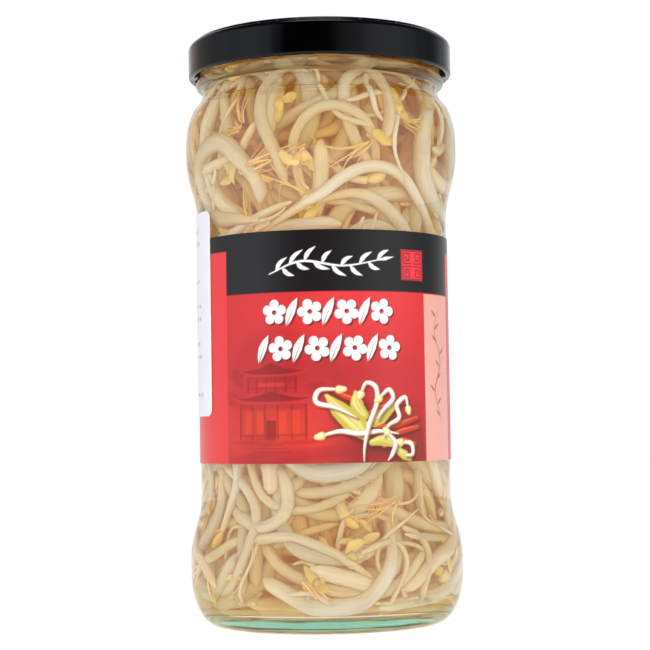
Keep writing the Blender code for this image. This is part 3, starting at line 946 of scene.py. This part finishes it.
def make_lid(material):
    curl = (LID_R - CURL_R, LID_FOOT_Z + CURL_R)
    button_z, panel_z, top_z = PANEL_Z - BUTTON_DIP, PANEL_Z, LID_TOP_Z
    panel = [
        (0.0, button_z),
        *[(r * MM, PANEL_Z - BUTTON_DIP * (1 - (r / 14) ** 2)) for r in (3, 6, 9, 11.5)],
        *arc(13.6 * MM, panel_z - 0.15 * MM, 1.0 * MM, 0.5 * MM, 170, 20, 7),
        (16.0 * MM, panel_z - 0.1 * MM),
        (22.8 * MM, panel_z - 0.1 * MM),
        *arc(23.6 * MM, panel_z, 0.7 * MM, 0.35 * MM, 200, 330, 6),
        (25.2 * MM, panel_z + 0.25 * MM),
        *arc(27.2 * MM, top_z - 0.7 * MM, 1.3 * MM, 0.7 * MM, 165, 90, 6),
        *arc(30.6 * MM, top_z - 0.75 * MM, 1.0 * MM, 0.75 * MM, 90, 12, 7),
        *arc(LID_R - 1.5 * MM, top_z - 2.3 * MM, 1.5 * MM, 1.55 * MM, 82, 0, 9),
    ]
    skirt = [(LID_R, z * MM) for z in (141.5, 139.5, 138.2, 137.4)]
    inside = [
        *arc(*curl, CURL_R - SHEET, CURL_R - SHEET, -205, 0, 9),
        (LID_R - SHEET, 139.5 * MM),
        (LID_R - SHEET, 142.0 * MM),
        *arc(LID_R - 2.3 * MM, top_z - 2.6 * MM, 2.0 * MM, 1.6 * MM, 0, 90, 6),
        (29.0 * MM, top_z - SHEET - 0.2 * MM),
        (27.0 * MM, top_z - SHEET - 0.4 * MM),
        (25.4 * MM, panel_z - SHEET),
        (13.0 * MM, panel_z - SHEET - 0.2 * MM),
        (6.0 * MM, button_z - SHEET),
        (0.0, button_z - SHEET),
    ]
    half_lug = LUG_WIDTH / 2 / LUG_TIP_R

    def shape(radius, turns, height):
        """Presses four lugs inwards out of the curl."""
        radius, height = radius.copy(), height.copy()
        for index in range(STARTS):
            centre = FULL_TURN * index / STARTS + half_lug
            off = np.abs((turns - centre + math.pi) % FULL_TURN - math.pi)
            press = np.clip((half_lug * 1.25 - off) / (half_lug * 0.5), 0, 1)
            press = press * press * (3 - 2 * press)
            lip = (height < LID_FOOT_Z + 1.9 * MM) & (radius < LID_R - 0.25 * MM)
            inner = np.clip((LID_R - 0.3 * MM - radius) / (0.9 * MM), 0, 1)
            radius -= np.where(lip, press * inner * 1.1 * MM, 0)
            height += np.where(lip, press * inner * 0.45 * MM, 0)
        return radius, height

    outside = [*panel, *skirt, *arc(*curl, CURL_R, CURL_R, 12, -215, 14)]
    made = turned_mesh("lid_cap", [*outside, *inside], shape)
    made.data.materials.append(material)
    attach(made, "lid")
    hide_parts("lid")


def finish_seal(seal, material):
    seal.data.materials.clear()
    seal.data.materials.append(material)


# ---------------------------------------------------------------- printing


def srgb(*values):
    """A screen colour, 0 to 255, as linear values."""
    shares = np.array(values, float) / 255
    return np.where(shares <= 0.04045, shares / 12.92, ((shares + 0.055) / 1.055) ** 2.4)


def above(value, edge, soft=0.12):
    """0 below the edge and 1 above it."""
    t = np.clip((value - edge) / (2 * soft) + 0.5, 0, 1)
    return t * t * (3 - 2 * t)


def below(value, edge, soft=0.12):
    return 1 - above(value, edge, soft)


def box(u, v, low_u, high_u, low_v, high_v, soft=0.12):
    across = above(u, low_u, soft) * below(u, high_u, soft)
    return across * above(v, low_v, soft) * below(v, high_v, soft)


def heap(u, v, middle, size, power=2):
    """1 at the middle of a soft spot and 0 far from it."""
    return np.exp(-(((u - middle[0]) / size[0]) ** power) - ((v - middle[1]) / size[1]) ** power)


def ripple(u, v, seed, scale):
    """Smooth random variation, from -1 to 1, as a sum of waves."""
    random = np.random.default_rng(seed)
    total = np.zeros_like(u)
    for _ in range(9):
        angle, phase = random.uniform(0, FULL_TURN, 2)
        size = scale * random.uniform(0.5, 2.0)
        total += np.sin((u * math.cos(angle) + v * math.sin(angle)) / size + phase)
    return total / 4


def pavilion(u, v, middle, roofs):
    """How dark the faint picture of a garden pavilion is, from 0 to 1."""
    dark = np.zeros_like(u)

    def draw(share, low_u, high_u, low_v, high_v, soft=0.12):
        dark[:] = np.maximum(dark, share * box(u, v, low_u, high_u, low_v, high_v, soft))

    for eaves, half, rise in roofs:
        x = np.abs(u - middle) / half
        under = eaves + 1.5 * x**3
        ridge = under + rise * np.clip(1 - x, 0, 1) ** 1.5 + 0.3
        roof = above(v, under, 0.1) * below(v, ridge, 0.1) * below(x, 1.0, 0.02)
        dark = np.maximum(dark, roof)
    for low, high, half in ((56.6, 60.4, 6.2), (45.6, 54.0, 8.6)):
        left, right = middle - half, middle + half
        for post in np.linspace(left, right, 6):
            draw(0.8, post - 0.3, post + 0.3, low, high)
        draw(0.45, left, right, high - 1.2, high)
        draw(0.22, left + 0.6, right - 0.6, low, high, 0.3)
        draw(0.6, left, right, low + 0.9, low + 1.3)
    draw(1.0, middle - 1.3, middle + 1.3, 45.4, 50.2)
    for stair in range(4):
        half, top = 2.2 + 0.9 * stair, 45.4 - 0.85 * stair
        draw(0.5, middle - half, middle + half, top - 0.3, top)
    draw(0.35, -24.5, -2, 44.6, 45.5)
    for tree in ((-25.0, 55.5), (-1.5, 57.5), (-23.0, 60.5)):
        crown = np.hypot((u - tree[0]) / 2.6, (v - tree[1]) / 1.9) + 0.3 * ripple(u, v, 12, 0.5)
        dark = np.maximum(dark, 0.4 * below(crown, 0.9, 0.25))
    return dark


def stroke(u, v, points, halves, soft=0.1, curved=True):
    """How much of a brush stroke lies on (u, v). halves are its half-widths from end to end."""
    line = np.array(points, float)
    if curved:
        line = smooth_line(line, 9 * len(line))
    half = np.interp(np.linspace(0, 1, len(line)), np.linspace(0, 1, len(halves)), halves)
    reach = half.max() + 2 * soft
    low, high = line.min(axis=0) - reach, line.max(axis=0) + reach
    near = (u > low[0]) & (u < high[0]) & (v > low[1]) & (v < high[1])
    place = np.stack([u[near], v[near]], axis=1)
    inside = np.full(len(place), -9.0)
    for a, b, half_a, half_b in zip(line[:-1], line[1:], half[:-1], half[1:]):
        across = b - a
        t = np.clip((place - a) @ across / max(across @ across, 1e-9), 0, 1)
        gap = np.linalg.norm(place - a - t[:, None] * across, axis=1)
        inside = np.maximum(inside, half_a + (half_b - half_a) * t - gap)
    ink = np.zeros_like(u)
    ink[near] = above(inside, 0, soft)
    return ink


def turned(length, degrees):
    """The step of a given length in a direction, as (across, up)."""
    angle = math.radians(degrees)
    return np.array([length * math.cos(angle), length * math.sin(angle)])


def twig(u, v):
    """A plain leafy twig in brush strokes, on the black band."""
    stem = smooth_line(np.array([(-13, 84.6), (-5, 87.4), (5, 86.2), (15.5, 88.0)], float), 15)
    ink = stroke(u, v, stem, [0.1, 0.26, 0.2, 0.08])
    random = np.random.default_rng(21)
    for index in range(1, len(stem) - 1):
        side = 1 if index % 2 else -1
        lean = side * random.uniform(28, 46) + 6
        tip = stem[index] + turned(random.uniform(3.4, 4.8), lean)
        middle = (stem[index] + tip) / 2 + turned(0.45, lean + 90 * side)
        ink = np.maximum(ink, stroke(u, v, [stem[index], middle, tip], [0.08, 0.52, 0.4, 0.03]))
    tip = stem[-1] + turned(2.4, 12)
    return np.maximum(ink, stroke(u, v, [stem[-2], stem[-1], tip], [0.1, 0.4, 0.02]))


def fret(u, v, centre, half):
    """Square spirals in a square frame, as lines to be cut out of a printed stamp."""
    ink = np.zeros_like(u)
    cell = half * 0.86
    spiral = [(0.12, 0.12), (0.9, 0.12), (0.9, 0.9), (0.34, 0.9), (0.34, 0.36), (0.66, 0.36)]
    spiral.append((0.66, 0.66))
    for way in ((-1, -1), (-1, 1), (1, -1), (1, 1)):
        line = np.array(centre) + cell * np.array(way) * np.array(spiral)
        ink = np.maximum(ink, stroke(u, v, line, [0.12, 0.12], 0.08, curved=False))
    edge = np.maximum(np.abs(u - centre[0]), np.abs(v - centre[1])) / half
    return np.maximum(ink, above(edge, 0.9, 0.03) * below(edge, 0.955, 0.03))


def blossom(u, v, middle, radius, turn):
    """A plain five-petalled blossom with an open eye."""
    ink = np.zeros_like(u)
    for degrees in range(turn, turn + 360, 72):
        petal = [middle + turned(radius * reach, degrees) for reach in (0.36, 0.62)]
        ends = [radius * 0.26, radius * 0.38]
        ink = np.maximum(ink, stroke(u, v, petal, ends, curved=False))
    return ink * above(np.hypot(u - middle[0], v - middle[1]), radius * 0.2)


def border_row(u, v, left, right, low, high, count, blossom_first):
    """A border of blossoms and leaning leaves by turns."""
    ink = np.zeros_like(u)
    pitch = (right - left) / count
    half_tall = (high - low) / 2
    for index in range(count):
        middle = np.array([left + (index + 0.5) * pitch, (low + high) / 2])
        if (index % 2 == 0) == blossom_first:
            ink = np.maximum(ink, blossom(u, v, middle, half_tall * 0.86, 90 + 9 * index))
            continue
        way = turned(half_tall, 68)
        line = [middle - way, middle + turned(0.25, 158), middle + way]
        leaf = stroke(u, v, line, [0.08, 0.75, 1.02, 0.75, 0.04])
        rib = stroke(u, v, [middle - way, middle + way * 0.4], [0.15, 0.04], curved=False)
        ink = np.maximum(ink, leaf * (1 - 0.9 * rib))
    return ink


# The picture of a heap of sprouts: leaves, strips of pepper, then stems with their seed leaves.
PICTURE_LEAVES = [
    ([(0.6, 55.6), (3.4, 52.4), (7.2, 49.0), (9.5, 46.4)], [0.5, 2.0, 2.7, 1.2]),
    ([(7.5, 56.2), (7.6, 53.6), (9.5, 51.0)], [0.6, 1.6, 1.0]),
    ([(10.4, 48.8), (13.5, 50.6), (17.6, 53.4)], [0.8, 1.7, 0.6]),
    ([(11.0, 44.6), (14.5, 45.2), (18.5, 44.0)], [0.6, 1.5, 0.8]),
    ([(17.5, 43.0), (20.0, 41.6), (21.8, 40.6)], [0.7, 1.2, 0.5]),
]
PICTURE_STRIPS = [
    [(10.5, 51.6), (15.0, 53.2), (20.6, 54.2)],
    [(12.0, 48.2), (18.0, 48.8), (24.4, 50.4)],
    [(15.5, 46.2), (20.0, 47.4), (24.6, 48.2)],
    [(14.0, 43.6), (19.5, 45.0), (23.5, 44.2)],
    [(1.2, 57.2), (5.0, 55.6), (8.0, 54.6)],
]
PICTURE_STEMS = [
    [(-0.8, 46.4), (3.6, 47.4), (8.2, 46.8), (13.4, 47.3), (18.4, 46.6)],
    [(3.4, 57.2), (-1.2, 57.0), (-1.9, 54.2), (2.4, 53.0), (7.4, 50.6)],
    [(8.6, 56.0), (10.0, 58.6), (12.4, 57.6), (12.6, 54.0), (10.6, 49.0), (9.4, 44.0), (9.2, 40.3)],
    [(13.2, 55.0), (15.8, 57.0), (17.0, 55.0), (14.6, 52.6), (12.8, 50.2)],
    [(21.4, 52.4), (20.6, 55.2), (18.0, 53.4), (18.6, 50.4), (15.6, 48.6), (14.4, 46.2)],
    [(15.2, 47.0), (17.4, 44.6), (16.6, 42.0), (15.4, 40.4)],
    [(19.0, 44.6), (22.2, 44.2), (22.6, 41.8), (20.4, 41.4)],
]


def paint_picture(paint, u, v):
    """Paints the heap of sprouts over the red."""
    shade, leaf, leaf_light = srgb(88, 22, 10), srgb(196, 178, 62), srgb(228, 218, 136)
    drop = np.array([0.45, -0.5])

    def brush(tone, share, line, halves, soft=0.1):
        paint(tone, share * stroke(u, v, line, halves, soft))

    for line, halves in PICTURE_LEAVES:
        brush(shade, 0.75, np.array(line) + drop, [half + 0.7 for half in halves], 0.8)
    for line in PICTURE_STRIPS:
        brush(shade, 0.7, np.array(line) + drop, [0.5, 1.1, 0.6], 0.5)
        brush(srgb(198, 52, 26), 1, line, [0.25, 0.75, 0.5])
        brush(srgb(236, 120, 60), 0.8, np.array(line) - drop * 0.5, [0.05, 0.2, 0.08])
    for line, halves in PICTURE_LEAVES:
        brush(leaf, 1, line, halves)
        brush(leaf_light, 0.9, np.array(line) - drop * 0.6, [half * 0.5 for half in halves], 0.4)
        brush(leaf, 0.8, line, [0.05, 0.16, 0.05])
    for line in map(np.array, PICTURE_STEMS):
        brush(shade, 0.7, line + drop, [0.3, 0.7, 0.6, 0.3], 0.35)
        brush(srgb(196, 150, 130), 1, line, [0.3, 0.66, 0.6, 0.14])
        brush(srgb(248, 238, 226), 1, line - drop * 0.2, [0.2, 0.48, 0.42, 0.08])
        head = np.array([line[0], line[0] + (line[0] - line[1]) * 0.28])
        brush(srgb(214, 194, 112), 1, head, [0.95, 0.6])
        brush(srgb(244, 234, 184), 1, head - drop * 0.3, [0.6, 0.35], 0.2)


def vine(u, v):
    """A thin vertical tendril with small leaves, on the pink strip."""
    line = [(33.6 + 1.5 * math.sin(height / 2.4), height) for height in np.linspace(49, 76, 19)]
    ink = stroke(u, v, line, [0.05, 0.22, 0.17, 0.05])
    for index, foot in enumerate(line[1:-1:2]):
        side = 1 if index % 2 else -1
        tip = np.array(foot) + turned(3.0, 90 - 52 * side)
        ink = np.maximum(ink, stroke(u, v, [foot, tip], [0.05, 0.36, 0.04]))
    return ink


def label_colour(u, v):
    """The print of the label at (across, height), both in millimetres, as linear colours."""
    red, bright, glow = srgb(219, 44, 48), srgb(226, 58, 60), srgb(226, 66, 34)
    dusk, black, white = srgb(132, 12, 16), srgb(13, 8, 10), srgb(250, 246, 246)
    colour = np.broadcast_to(red, (*u.shape, 3)).copy()

    def paint(tone, share):
        share = np.clip(share, 0, 1)[..., None]
        colour[:] = colour * (1 - share) + tone * share

    # The red ground of the front, with its shades and warm lights.
    front = box(u, v, -26.0, 40.6, 39.0, 96.0)
    lower = below(v, 67, 12)
    paint(bright, 0.8 * below(u, -26.0, 0.1))
    paint(dusk, 0.30 * front * lower)
    paint(dusk, 0.34 * front * heap(u, v, (1, 62), (17, 6.5)))
    arch = np.hypot((u + 11) / 17, (v - 52) / 20)
    arch = above(arch, 0.82, 0.12) * below(arch, 1.0, 0.05)
    paint(dusk, 0.16 * front * arch * above(v, 52, 6))
    paint(glow, 0.8 * heap(u, v, (-12, 48.5), (12, 4.6)) * front)
    paint(bright, 0.35 * front * below(u, -22.0, 4.0) * lower)
    cloud = above(ripple(u, v, 4, 2.1), 0.25, 0.7) * below(v, 64, 4) * below(u, 2, 6)
    paint(dusk, 0.30 * cloud * front)

    # The pavilion, with light in its windows and along its eaves.
    middle, roofs = -13.0, ((54.2, 11.8, 2.6), (60.6, 9.4, 2.8))
    paint(dusk, 0.8 * pavilion(u, v, middle, roofs) * front)
    for left, right, low, high in (
        (-20.2, -18.0, 47, 52.4),
        (-16.9, -14.9, 47, 52.2),
        (-11.2, -9.2, 47, 52.2),
        (-8.0, -5.8, 47, 52.4),
        (-16.6, -9.4, 58.2, 59),
    ):
        paint(glow, 0.5 * box(u, v, left, right, low, high, 0.35))
    for eaves, half, _ in roofs:
        x = np.abs(u - middle) / half
        edge = (v - eaves - 1.5 * x**3 - 0.15) / 0.22
        paint(bright, 0.55 * np.exp(-(edge**2)) * below(x, 1.0, 0.02))

    # Dusk over it, the ground in front of it and the dark behind the heap of sprouts.
    paint(dusk, 0.24 * front * below(u, -5, 12) * above(v, 60, 8))
    streaks = above(ripple(u * 0.35, v * 3.0, 9, 1.4), 0.3, 0.7) * below(v, 46.0, 1.0)
    paint(glow, 0.35 * streaks * front * below(u, 4, 5))
    paint(dusk, 0.30 * below(v, 43.0, 1.6) * front)
    paint(srgb(112, 22, 12), 0.72 * heap(u, v, (15, 46.5), (11, 7.5), 4) * front)
    corner = above(u * 0.8 - (v - 39) * 0.9, 12.5, 2.0) * below(v, 52, 3) * below(u, 26.8, 0.4)
    paint(srgb(128, 40, 16), 0.6 * corner * front)
    paint_picture(paint, u, v)

    # The border rows, the pink strip with its vine, and the black band with twig and stamp.
    for row in ((-14.0, 16.4, 72.0, 79.0, 7, True), (-17.0, 18.4, 63.4, 70.4, 8, False)):
        paint(srgb(70, 14, 16), 0.8 * border_row(u - 0.42, v + 0.42, *row))
        paint(white, border_row(u, v, *row))
    paint(srgb(238, 172, 157), box(u, v, 27.6, 40.6, 39.0, 80.0))
    paint(srgb(150, 86, 80), 0.85 * vine(u, v))
    paint(black, np.maximum(above(v, 90.8), box(u, v, -26.0, 41.0, 80.2, 96.0)))
    paint(white, twig(u, v))
    stamp, stamp_half = (23.6, 86.7), 3.6
    edge = np.maximum(np.abs(u - stamp[0]), np.abs(v - stamp[1]))
    paint(srgb(236, 50, 62), below(edge, stamp_half))
    paint(black, 0.9 * fret(u, v, stamp, stamp_half))
    return colour


# ---------------------------------------------------------------- label and sticker


def paper_shell(name, u, v, radius, colour_of, material):
    """A thin closed sheet around the jar. u and v are grids of millimetres across and up."""
    turn = u * MM / (WAIST_R + LABEL_GAP + PAPER)
    sheets = [
        np.stack([r * np.sin(turn), -r * np.cos(turn), v * MM], axis=-1).reshape(-1, 3)
        for r in (radius + PAPER, radius)
    ]
    tall, wide = u.shape
    colours = colour_of(u, v).reshape(-1, 3)
    white = np.broadcast_to(srgb(235, 232, 226), colours.shape)
    index = np.arange(tall * wide).reshape(tall, wide)
    a, b, c, d = index[:-1, :-1], index[:-1, 1:], index[1:, 1:], index[1:, :-1]
    outer = np.stack([a, b, c, d], axis=-1).reshape(-1, 4)
    inner = outer[:, ::-1] + tall * wide
    rim = np.concatenate([index[0], index[1:, -1], index[-1, -2::-1], index[-2:0:-1, 0]])
    following = np.roll(rim, -1)
    edge = np.stack([rim, rim + tall * wide, following + tall * wide, following], axis=-1)
    faces = np.concatenate([outer, inner, edge]).tolist()
    made = new_mesh_object(name, np.concatenate(sheets), faces, np.concatenate([colours, white]))
    made.data.materials.append(material)
    return made


def make_label(material):
    half = math.radians(LABEL_HALF_TURN) * (WAIST_R + LABEL_GAP + PAPER) / MM
    printed = (-27, 42)
    columns = [np.arange(-half, printed[0], 1.0), np.arange(*printed, PRINT_STEP)]
    columns = np.concatenate([*columns, np.arange(printed[1], half, 1.0), [half]])
    rows = np.linspace(LABEL_Z[0] / MM, LABEL_Z[1] / MM, LABEL_ROWS)
    grid = np.meshgrid(columns, rows)
    made = paper_shell("paper_label", *grid, WAIST_R + LABEL_GAP, label_colour, material)
    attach(made, "jar")
    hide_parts("label")


def make_sticker(material):
    """The white slip over the label's left edge, printed with faint dashes, its corners round."""
    scale = (WAIST_R + LABEL_GAP + PAPER) / MM
    low, high = (math.radians(turn) * scale for turn in STICKER_TURN)
    bottom, top = STICKER_Z[0] / MM, STICKER_Z[1] / MM
    corner = 2.0

    def colour_of(u, v):
        colour = np.broadcast_to(srgb(233, 234, 242), (*u.shape, 3)).copy()
        random = np.random.default_rng(8)
        for height in np.arange(bottom + 5, top - 3, 3.1):
            if random.uniform() < 0.12:
                continue
            left, end = low + 3, high - random.choice([5.5, 6.5, 8.0, 13.0])
            while left < end - 0.5:
                right = min(left + random.uniform(1.2, 5.0), end)
                share = 0.6 * box(u, v, left, right, height, height + 0.8)[..., None]
                colour[:] = mixed(colour, srgb(150, 152, 166), share)
                left = right + random.uniform(0.8, 1.6)
        return colour

    columns = np.arange(low, high + 0.2, 0.35)
    ends = corner * (1 - np.cos(np.linspace(0, math.pi / 2, 12)))
    rows = np.arange(bottom + corner + 0.3, top - corner, 0.35)
    rows = np.concatenate([bottom + ends, rows, top - ends[::-1]])
    u, v = np.meshgrid(columns, rows)
    over = np.maximum(np.maximum(bottom + corner - v, v - (top - corner)), 0)
    inset = corner - np.sqrt(np.maximum(corner**2 - over**2, 0))
    middle = (low + high) / 2
    u = middle + (u - middle) * ((high - low - 2 * inset) / (high - low))
    radius = WAIST_R + 2 * LABEL_GAP + PAPER
    made = paper_shell("white_sticker", u, v, radius, colour_of, material)
    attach(made, "jar")
    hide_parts("sticker")


# ---------------------------------------------------------------- studio


def make_camera():
    data = bpy.data.cameras.new("camera")
    data.lens = CAMERA_LENS
    data.sensor_width = 36.0
    data.clip_start, data.clip_end = 0.01, 20.0
    camera = bpy.data.objects.new("camera", data)
    bpy.context.scene.collection.objects.link(camera)
    pitch = Matrix.Rotation(math.radians(90 + CAMERA_TILT_UP), 4, "X")
    pan = Matrix.Rotation(math.radians(-CAMERA_PAN), 4, "Z")
    roll = Matrix.Rotation(math.radians(-CAMERA_ROLL), 4, "Z")
    place = Matrix.Translation((0, -CAMERA_DISTANCE, CAMERA_HEIGHT))
    camera.matrix_world = place @ pan @ pitch @ roll
    bpy.context.scene.camera = camera


# Brightness of the softboxes around the jar in its reflections, by turn in degrees: 0 is towards
# the front, negative to its left and positive to its right.
SOFTBOX_LEVELS = [
    (-180, 0.06), (-165, 0.90), (-142, 0.60), (-128, 0.44), (-108, 0.50), (-84, 0.76),
    (-60, 0.98), (-46, 0.82), (-37, 0.30), (-28, 0.0), (6, 0.0), (26, 0.42), (52, 1.0),
    (70, 1.0), (84, 0.66), (98, 0.34), (114, 0.20), (137, 0.50), (163, 0.90), (180, 0.06),
]  # fmt: skip
# The same by the height of their direction, then a small lamp right above.
SOFTBOX_RISE = [(-0.5, 0.1), (-0.12, 1.0), (0.45, 1.0), (0.7, 0.1)]
LAMP_ABOVE = [(0.955, 0.0), (0.975, 0.7), (0.985, 1.0), (1.0, 1.0)]
LAMP_POWER = 2.6
LIGHTS = [
    ("front_softbox", 3, 0.22, 2.8, 0.5),
    ("left_softbox", -62, 0.30, 2.4, 0.7),
    ("right_softbox", 58, 0.30, 2.2, 0.7),
    ("top_softbox", 170, 0.95, 1.5, 0.8),
]
LIGHT_DISTANCE = 0.85


def softbox_colour(degrees, level):
    cool = 0.10 if -90 < degrees < -30 else -0.07 if -180 < degrees < -120 else 0.04
    cool = 0 if abs(degrees) == 180 else cool
    return level * (1 - cool), level, level * (1 + cool)


def make_world(scene):
    """White as seen, pale as a light, and a ring of softboxes in reflections."""
    scene.world = bpy.data.worlds.new("studio")
    scene.world.cycles.sampling_method = "NONE"
    nodes = Nodes(scene.world)

    def background(colour, strength):
        inputs = {"Color": colour, "Strength": strength}
        return nodes.add("ShaderNodeBackground", inputs).outputs[0]

    direction = nodes.add("ShaderNodeTexCoord").outputs["Generated"]
    parts = nodes.add("ShaderNodeSeparateXYZ", {0: direction}).outputs
    turn = nodes.math("ARCTAN2", parts["X"], nodes.math("MULTIPLY", parts["Y"], -1))
    share = nodes.share_of(turn, -math.pi, math.pi)
    stops = [((at + 180) / 360, softbox_colour(at, level)) for at, level in SOFTBOX_LEVELS]
    boxes = nodes.ramp(share, stops, "EASE")
    tilt = nodes.share_of(parts["Z"], -1.0, 1.0)
    rise, lamp = (
        nodes.ramp(tilt, [((height + 1) / 2, level) for height, level in levels])
        for levels in (SOFTBOX_RISE, LAMP_ABOVE)
    )
    lamp = nodes.math("MULTIPLY", lamp, LAMP_POWER)
    around = background(nodes.blend(nodes.blend(boxes, rise), lamp, "ADD"), 1.0)
    path = nodes.add("ShaderNodeLightPath").outputs
    seen = nodes.math("MAXIMUM", path["Is Camera Ray"], path["Is Transmission Ray"])
    fill = background((1.0, 0.99, 0.97, 1), 0.47)
    lit = nodes.choose(path["Is Glossy Ray"], fill, around)
    final = nodes.choose(seen, lit, background((1, 1, 1, 1), 1.02))
    nodes.put(nodes.output.inputs["Surface"], final)


def make_studio():
    scene = bpy.context.scene
    scene.view_settings.view_transform = "Standard"
    scene.cycles.use_denoising = True
    scene.cycles.max_bounces = 32
    scene.cycles.diffuse_bounces = 10
    # Light caught in the thick base of the glass is turned back many times before it leaves.
    scene.cycles.glossy_bounces = 24
    scene.cycles.transmission_bounces = 24
    scene.cycles.transparent_max_bounces = 16
    scene.cycles.caustics_reflective = False
    scene.cycles.caustics_refractive = False
    scene.cycles.sample_clamp_indirect = 6.0
    make_world(scene)
    for name, degrees, height, power, size in LIGHTS:
        light = bpy.data.lights.new(name, "AREA")
        light.energy = power
        light.size = size
        holder = bpy.data.objects.new(name, light)
        scene.collection.objects.link(holder)
        turn = math.radians(degrees)
        place = (LIGHT_DISTANCE * math.sin(turn), -LIGHT_DISTANCE * math.cos(turn), height)
        holder.location = place
        aim = Vector((0, 0, 0.07)) - holder.location
        holder.rotation_euler = aim.to_track_quat("-Z", "Y").to_euler()
        holder.visible_glossy = False
        holder.visible_transmission = False
        holder.visible_camera = False

    nodes = new_material(
        "studio_floor", Base_Color=(0.3, 0.3, 0.3, 1), Roughness=0.9, Specular_IOR_Level=0.0
    )
    nodes.set(Emission_Color=(1, 1, 1, 1), Emission_Strength=0.86)
    corners = [(-6, -6, 0), (6, -6, 0), (6, 6, 0), (-6, 6, 0)]
    floor = new_mesh_object("studio_floor", corners, [(0, 1, 2, 3)])
    floor.location.z = -0.0002
    floor.data.materials.append(nodes.owner)


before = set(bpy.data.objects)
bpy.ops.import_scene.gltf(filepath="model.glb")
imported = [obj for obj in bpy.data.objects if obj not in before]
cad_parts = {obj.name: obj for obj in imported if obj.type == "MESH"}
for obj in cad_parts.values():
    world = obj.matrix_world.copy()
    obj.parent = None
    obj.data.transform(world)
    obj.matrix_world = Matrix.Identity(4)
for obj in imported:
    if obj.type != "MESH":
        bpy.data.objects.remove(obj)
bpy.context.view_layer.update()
make_camera()
make_glass(glass_material())
make_brine(brine_material())
flesh = sprout_material()
make_sprouts(flesh)
make_fibres(flesh)
make_lid(lacquer_material())
finish_seal(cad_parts["lid_seal"], seal_material())
make_label(paper_material("printed_paper", 0.30, 0.00002))
make_sticker(paper_material("sticker_white", 0.42, 0.00003, 0.3))
make_studio()
